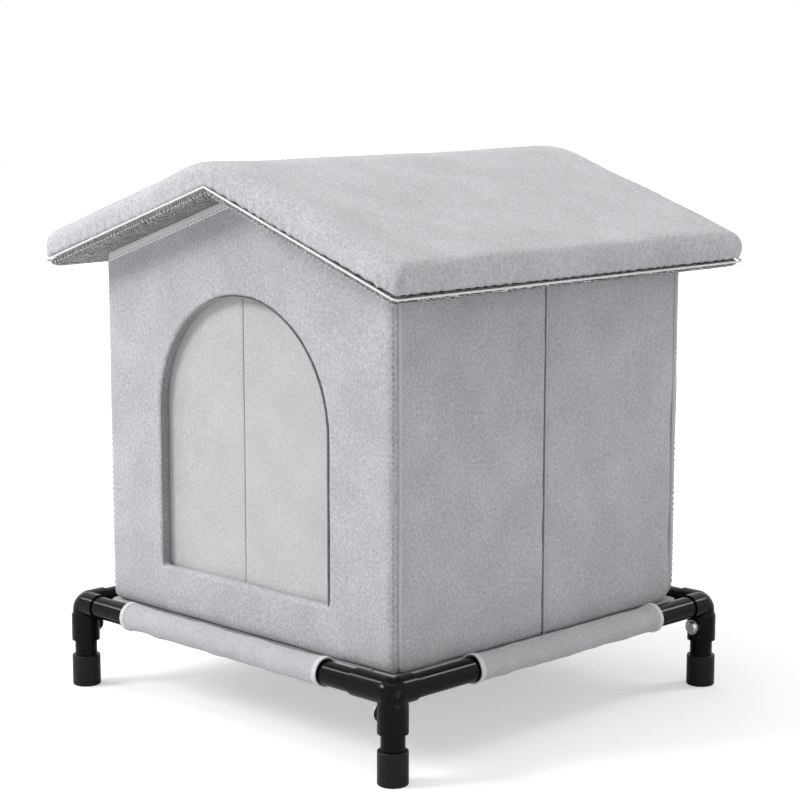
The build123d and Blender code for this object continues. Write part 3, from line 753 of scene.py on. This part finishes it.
def makeRoofPiping():
    piece = cordThrough("roofPiping", roofEdgeRoute(), roofSettings["cordRadius"], closed=True)
    dress(piece, whitePiping, "roof_right", "roof_piping", "roof_piping_right", "roof_piping_left")
    return piece


stitchSettings = {"length": 0.0034, "gap": 0.0022, "radius": 0.00042}
rimSeam = {"inset": 0.0018, "drop": 0.0052, "gableStart": 0.235}


def oneStitch():
    # a short thread, modelled once and laid along every seam
    bpy.ops.mesh.primitive_uv_sphere_add(segments=6, ring_count=5, radius=1)
    stitch = bpy.context.object
    points = readPoints(stitch)
    faces = [tuple(face.vertices) for face in stitch.data.polygons]
    bpy.data.objects.remove(stitch)
    return points, faces


stitchPoints, stitchFaces = oneStitch()


def sewAlong(pieceName, route, outward, settings=stitchSettings):
    # stitches of one length along a route, each lying on the cloth
    spots = np.array([tuple(place) for place in route])
    steps = np.linalg.norm(np.diff(spots, axis=0), axis=1)
    travelled = np.concatenate([[0], np.cumsum(steps)])
    pitch = settings["length"] + settings["gap"]
    centres = np.arange(pitch / 2, travelled[-1], pitch)
    allPoints, allFaces = [], []
    up = np.array(outward, float)
    for middle in centres:
        here = np.array([np.interp(middle, travelled, spots[:, axis]) for axis in range(3)])
        ahead = np.array([np.interp(middle + 0.0005, travelled, spots[:, axis]) for axis in range(3)])
        along = ahead - here
        if np.linalg.norm(along) < 1e-7:
            continue
        along /= np.linalg.norm(along)
        across = np.cross(up, along)
        across /= np.linalg.norm(across)
        lift = np.cross(along, across)
        shape = stitchPoints * np.array([settings["radius"], settings["radius"], settings["length"] / 2])
        placed = here + shape[:, 0:1] * across + shape[:, 1:2] * lift + shape[:, 2:3] * along
        before = len(stitchPoints) * len(allPoints)
        allFaces += [tuple(corner + before for corner in face) for face in stitchFaces]
        allPoints.append(placed)
    mesh = bpy.data.meshes.new(pieceName)
    mesh.from_pydata(np.concatenate(allPoints).tolist(), [], allFaces)
    piece = bpy.data.objects.new(pieceName, mesh)
    bpy.context.scene.collection.objects.link(piece)
    smoothShade(piece, 60)
    return piece


def makeRimStitches():
    # pale stitches on the lining's edge, below the piping of the two gable ends
    seams = []
    for end in (-1, 1):
        edge = roofEdgeRoute(inset=rimSeam["inset"], drop=rimSeam["drop"])
        route = [place for place in edge if place.y * end > rimSeam["gableStart"]]
        route.sort(key=lambda place: place.x)
        seams.append(sewAlong("roofRimStitches" + str(end + 1), route, (0, end, 0)))
    piece = joinTogether(seams, "roofRimStitches")
    dress(piece, paleThread, "roof_right", "roof_piping")
    return piece


roofCover = makeRoofCover()
roofLining = makeRoofLining()
roofPiping = makeRoofPiping()
rimStitches = makeRimStitches()
for piece in (roofCover, roofLining, roofPiping, rimStitches):
    piece.parent = None
    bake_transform(piece)
print("roof is covered")


# Tape along the gable's top edges; its pale colour is partly the tape's own and partly painted light, lifted
# against the eave's shade

tapeSettings = {"seamDrop": 0.0069, "endGap": 0.002, "bevel": 0.0004}


def makeGableTape(pieceName, nodeName, body, facing):
    piece = copyOfNodes(pieceName, [nodeName])
    useModifier(piece, "BEVEL", width=tapeSettings["bevel"], segments=2)
    smoothShade(piece, 35)
    dress(piece, tapeFelt, body, "gable_tape", nodeName)
    low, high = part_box(nodeName)
    reach = high.x - tapeSettings["endGap"]
    faceY = low.y if facing < 0 else high.y
    peak = high.z - tapeSettings["seamDrop"]
    foot = peak - math.tan(roofPitch) * reach
    route = [Vector((-reach, faceY, foot)), Vector((0, faceY, peak)), Vector((reach, faceY, foot))]
    seam = sewAlong(pieceName + "Stitches", route, (0, facing, 0))
    dress(seam, seamThread, body, "gable_tape")


makeGableTape("frontGableTape", "front_gable_tape", "frame", -1)
makeGableTape("backGableTape", "back_gable_tape", "back_wall", 1)


# Stitches down the rounded corners

cornerPlace = {"out": 0.1974, "top": 0.4285}
cornerSeams = {
    "frontCornerStitches": {"body": "frame", "side": -1, "low": 0.097},
    "backCornerStitches": {"body": "back_wall", "side": 1, "low": 0.104},
}


def makeCornerStitches(pieceName, body, side, low):
    corner, top = cornerPlace["out"], cornerPlace["top"]
    seams = []
    for across in (-1, 1):
        route = [Vector((across * corner, side * corner, height)) for height in (low, top)]
        seams.append(sewAlong(pieceName + str(across + 1), route, (across, side, 0)))
    piece = joinTogether(seams, pieceName)
    dress(piece, seamThread, body, "wall_piping")


for pieceName, seam in cornerSeams.items():
    makeCornerStitches(pieceName, **seam)


# Binding round the doorway's jambs and arch; its dark colour is partly a darker binding and partly painted shade
# of the reveal

doorSettings = {
    "half": 0.1168,
    "sill": 0.137,
    "top": 0.4083,
    "frontY": -0.2003,
    "backY": -0.1915,
    "thick": 0.0005,
}


def makeDoorBinding():
    half, spring = doorSettings["half"], doorSettings["top"] - doorSettings["half"]
    lift = spring - doorSettings["sill"]
    total = 2 * lift + math.pi * half
    clearSelection()
    bpy.ops.mesh.primitive_grid_add(x_subdivisions=240, y_subdivisions=6, size=1)
    piece = bpy.context.object
    piece.name = "doorBinding"
    flat = readPoints(piece)
    along = (flat[:, 0] + 0.5) * total
    turn = np.clip((along - lift) / half, 0, math.pi)
    x = -half * np.cos(turn)
    z = spring + half * np.sin(turn)
    z = np.where(along < lift, doorSettings["sill"] + along, z)
    z = np.where(along > total - lift, doorSettings["sill"] + total - along, z)
    y = doorSettings["frontY"] + (flat[:, 1] + 0.5) * (doorSettings["backY"] - doorSettings["frontY"])
    writePoints(piece, np.stack([x, y, z], axis=1))
    pick(piece)
    bpy.ops.object.mode_set(mode="EDIT")
    bpy.ops.mesh.select_all(action="SELECT")
    bpy.ops.mesh.normals_make_consistent(inside=False)
    bpy.ops.object.mode_set(mode="OBJECT")
    useModifier(piece, "SOLIDIFY", thickness=doorSettings["thick"], offset=0)
    smoothShade(piece, 60)
    # the dark felt stands in for the reveal's shade as well as the binding
    dress(piece, revealBindingShadeFelt, "frame", "wall_cloth")


makeDoorBinding()


# Cords in the upright seams

uprightCords = {
    "rightFoldCord": ("right_fold_cord", "right_front_wall", 0.0009, "seam_cord"),
    "leftFoldCord": ("left_fold_cord", "left_front_wall", 0.0009, "seam_cord"),
    "frontHingeCords": ("front_hinge_cords", "frame", 0.0009, "seam_cord"),
    "backHingeCords": ("back_hinge_cords", "back_wall", 0.0009, "seam_cord"),
    "frontCornerPiping": ("front_corner_piping", "frame", 0.0019, "wall_piping"),
    "backCornerPiping": ("back_corner_piping", "back_wall", 0.0019, "wall_piping"),
}


def makeUprightCords(pieceName, nodeName, body, radius, slot):
    low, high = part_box(nodeName)
    places = [low.x + radius] if high.x - low.x < 4 * radius else [low.x + radius, high.x - radius]
    y = (low.y + high.y) / 2
    cords = []
    for number, x in enumerate(places):
        route = [Vector((x, y, low.z + (high.z - low.z) * step / 40)) for step in range(41)]
        cords.append(cordThrough(pieceName + str(number), route, radius))
    piece = joinTogether(cords, pieceName)
    dress(piece, greyPiping, body, slot, nodeName)


for pieceName, (nodeName, body, radius, slot) in uprightCords.items():
    makeUprightCords(pieceName, nodeName, body, radius, slot)
print("seams are corded")


# Curtain: a header strip and two hanging flaps

curtainSettings = {
    "thickness": 0.0018,
    "waveDepth": 0.0007,
    "fullTop": 0.02,
    "cell": 0.004,
    "doorHalf": 0.1175,
    "headerVoxel": 0.0008,
}


def makeCurtainFlap(pieceName, nodeName, body, seed):
    low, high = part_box(nodeName)
    wide, tall = high.x - low.x, high.z - low.z
    columns, rows = int(wide / curtainSettings["cell"]), int(tall / curtainSettings["cell"])
    clearSelection()
    bpy.ops.mesh.primitive_grid_add(x_subdivisions=columns, y_subdivisions=rows, size=1)
    piece = bpy.context.object
    piece.name = pieceName
    bpy.ops.object.mode_set(mode="EDIT")
    bpy.ops.transform.resize(value=(wide, tall, 1))
    bpy.ops.object.mode_set(mode="OBJECT")
    piece.rotation_euler = (math.radians(90), 0, 0)
    piece.location = ((low.x + high.x) / 2, (low.y + high.y) / 2, (low.z + high.z) / 2)
    placeInMesh(piece)
    points = readPoints(piece)
    hang = fade(high.z - points[:, 2], curtainSettings["fullTop"], 0.2)
    inDoor = fade(curtainSettings["doorHalf"] - np.abs(points[:, 0]), -0.004, 0.02)
    waves = unevenness(points * np.array([1, 1, 0.25]), 0.07, seed)
    points[:, 1] += hang * curtainSettings["waveDepth"] * (waves + 0.4) * (0.35 + 0.65 * inDoor)
    writePoints(piece, points)
    useModifier(piece, "SOLIDIFY", thickness=curtainSettings["thickness"], offset=0)
    useModifier(piece, "BEVEL", width=0.0005, segments=2)
    smoothShade(piece, 50)
    dress(piece, curtainFelt, body, "curtain_cloth", nodeName)


def makeCurtainHeader():
    piece = copyOfNodes("curtainHeader", ["curtain_header"])
    useModifier(piece, "REMESH", mode="VOXEL", voxel_size=curtainSettings["headerVoxel"],
                use_smooth_shade=True)
    useModifier(piece, "SMOOTH", factor=0.5, iterations=3)
    dress(piece, curtainFelt, "frame", "curtain_cloth", "curtain_header")


makeCurtainFlap("curtainLeft", "curtain_left", "curtain_left", 41)
makeCurtainFlap("curtainRight", "curtain_right", "curtain_right", 42)
makeCurtainHeader()
print("curtain hangs")


# Deck cloth with its sleeves round the rails

deckSettings = {
    "thickness": 0.0016,
    "cell": 0.0072,
    "sag": 0.0006,
    "reach": 0.203,
    "corner": 0.012,
    "tongueInset": 0.006,
    "tongueReach": 0.0048,
    "cutSize": 0.4153,
}
hemSettings = {"width": 0.0052, "overhang": 0.0002, "fromEnd": 0.005, "radius": 0.0131, "thickness": 0.0009}
railSettings = {"axis": 0.219, "height": 0.083, "sleeveRadius": 0.0125, "clothThickness": 0.0011}
sleeveSpans = {
    "sleeveFront": ("sleeve_front", 0),
    "sleeveRight": ("sleeve_right", 90),
    "sleeveBack": ("sleeve_back", 180),
    "sleeveLeft": ("sleeve_left", 270),
}


def sleeveSpan(nodeName, turn):
    # start and end along the rail, as its own X once it is turned to the front
    low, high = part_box(nodeName)
    return {0: (low.x, high.x), 90: (low.y, high.y), 180: (-high.x, -low.x), 270: (-high.y, -low.y)}[turn]


def sleeveSwell(along, angle, start, end, seed):
    # extra radius of the sleeve's cloth: soft wrinkles, and mouths that stand off the tube
    fromEnd = np.minimum(along - start, end - along)
    mouth = 1 - fade(fromEnd, 0.0, 0.022)
    spots = np.stack([along, np.cos(angle) * 0.02, np.sin(angle) * 0.02], axis=1)
    wrinkles = unevenness(spots, 0.034, seed) * 0.00055
    lean = 0.5 + 0.5 * np.cos(angle - math.radians(60))
    return wrinkles + mouth * (0.0004 + 0.0011 * lean)


def makeTubeOfCloth(pieceName, start, end, radius, thickness, seed, spanStart, spanEnd):
    # a sleeve or hem round the front rail, opened out flat and then rolled up
    rings = max(3, int((end - start) / 0.0025))
    clearSelection()
    bpy.ops.mesh.primitive_grid_add(x_subdivisions=rings, y_subdivisions=64, size=1)
    piece = bpy.context.object
    piece.name = pieceName
    flat = readPoints(piece)
    along = start + (flat[:, 0] + 0.5) * (end - start)
    angle = (flat[:, 1] + 0.5) * 2 * math.pi
    size = radius + sleeveSwell(along, angle, spanStart, spanEnd, seed)
    points = np.stack([along, -railSettings["axis"] + size * np.cos(angle),
                       railSettings["height"] + size * np.sin(angle)], axis=1)
    writePoints(piece, points)
    pick(piece)
    bpy.ops.object.mode_set(mode="EDIT")
    bpy.ops.mesh.select_all(action="SELECT")
    bpy.ops.mesh.remove_doubles(threshold=0.00002)
    bpy.ops.mesh.normals_make_consistent(inside=False)
    bpy.ops.object.mode_set(mode="OBJECT")
    useModifier(piece, "SOLIDIFY", thickness=thickness, offset=-1)
    useModifier(piece, "BEVEL", width=0.0003, segments=2)
    smoothShade(piece, 60)
    return piece


def makeSleeves():
    for number, (pieceName, (nodeName, turn)) in enumerate(sleeveSpans.items()):
        start, end = sleeveSpan(nodeName, turn)
        seed = 51 + number
        radius = railSettings["sleeveRadius"]
        thickness = railSettings["clothThickness"]
        sleeve = makeTubeOfCloth(pieceName, start, end, radius, thickness, seed, start, end)
        sleeve.rotation_euler = (0, 0, math.radians(turn))
        placeInMesh(sleeve)
        dress(sleeve, sleeveFelt, "frame", "sleeve_cloth", nodeName)


def makeHems():
    bands = []
    for number, (nodeName, turn) in enumerate(sleeveSpans.values()):
        start, end = sleeveSpan(nodeName, turn)
        for low in (start, end - hemSettings["fromEnd"]):
            band = makeTubeOfCloth("hemBand", low - hemSettings["overhang"], low + hemSettings["width"],
                                   hemSettings["radius"], hemSettings["thickness"], 51 + number, start, end)
            band.rotation_euler = (0, 0, math.radians(turn))
            placeInMesh(band)
            bands.append(band)
    hems = joinTogether(bands, "sleeveHems")
    dress(hems, hemFelt, "frame", "hem_cloth", "sleeve_hems")


def makeDeck():
    low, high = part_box("deck")
    reach = deckSettings["reach"]
    clearSelection()
    count = int(2 * reach / deckSettings["cell"])
    bpy.ops.mesh.primitive_grid_add(x_subdivisions=count, y_subdivisions=count, size=2 * reach)
    piece = bpy.context.object
    piece.name = "deckCloth"
    points = readPoints(piece)
    corner = deckSettings["corner"]
    over = np.maximum(np.abs(points[:, :2]) - (reach - corner), 0)
    beyond = np.linalg.norm(over, axis=1)
    share = np.where(beyond > corner, corner / np.maximum(beyond, 1e-9), 1)
    kept = np.minimum(np.abs(points[:, :2]), reach - corner)
    points[:, :2] = np.sign(points[:, :2]) * (kept + over * share[:, None])
    writePoints(piece, points)
    bpy.ops.object.mode_set(mode="EDIT")
    for nodeName, turn in sleeveSpans.values():
        start, end = sleeveSpan(nodeName, turn)
        start, end = start + deckSettings["tongueInset"], end - deckSettings["tongueInset"]
        side = math.radians(turn)
        outward = Vector((math.sin(side), -math.cos(side), 0))
        alongRail = Vector((math.cos(side), math.sin(side), 0))
        bpy.ops.mesh.select_all(action="DESELECT")
        bpy.ops.object.mode_set(mode="OBJECT")
        for edge in piece.data.edges:
            ends = [piece.data.vertices[i].co for i in edge.vertices]
            onRim = all(spot.dot(outward) > reach - 0.0001 for spot in ends)
            edge.select = edge.select or (onRim and all(start < spot.dot(alongRail) < end for spot in ends))
        bpy.ops.object.mode_set(mode="EDIT")
        bpy.ops.mesh.select_mode(type="EDGE")
        bpy.ops.mesh.extrude_region_move(TRANSFORM_OT_translate={"value": outward * deckSettings["tongueReach"]})
    bpy.ops.mesh.select_all(action="SELECT")
    bpy.ops.mesh.normals_make_consistent(inside=False)
    bpy.ops.object.mode_set(mode="OBJECT")
    points = readPoints(piece)
    inner = fade(reach - np.max(np.abs(points[:, :2]), axis=1), 0.01, 0.06)
    middle = (low.z + high.z) / 2
    points[:, 2] = middle - deckSettings["sag"] * inner * (0.6 + 0.4 * unevenness(points, 0.11, 61))
    writePoints(piece, points)
    useModifier(piece, "SOLIDIFY", thickness=deckSettings["thickness"], offset=0)
    useModifier(piece, "BEVEL", width=0.0004, segments=2)
    smoothShade(piece, 50)
    dress(piece, deckFelt, "frame", "deck_cloth", "deck")


makeSleeves()
makeHems()
makeDeck()
print("deck and sleeves are on")
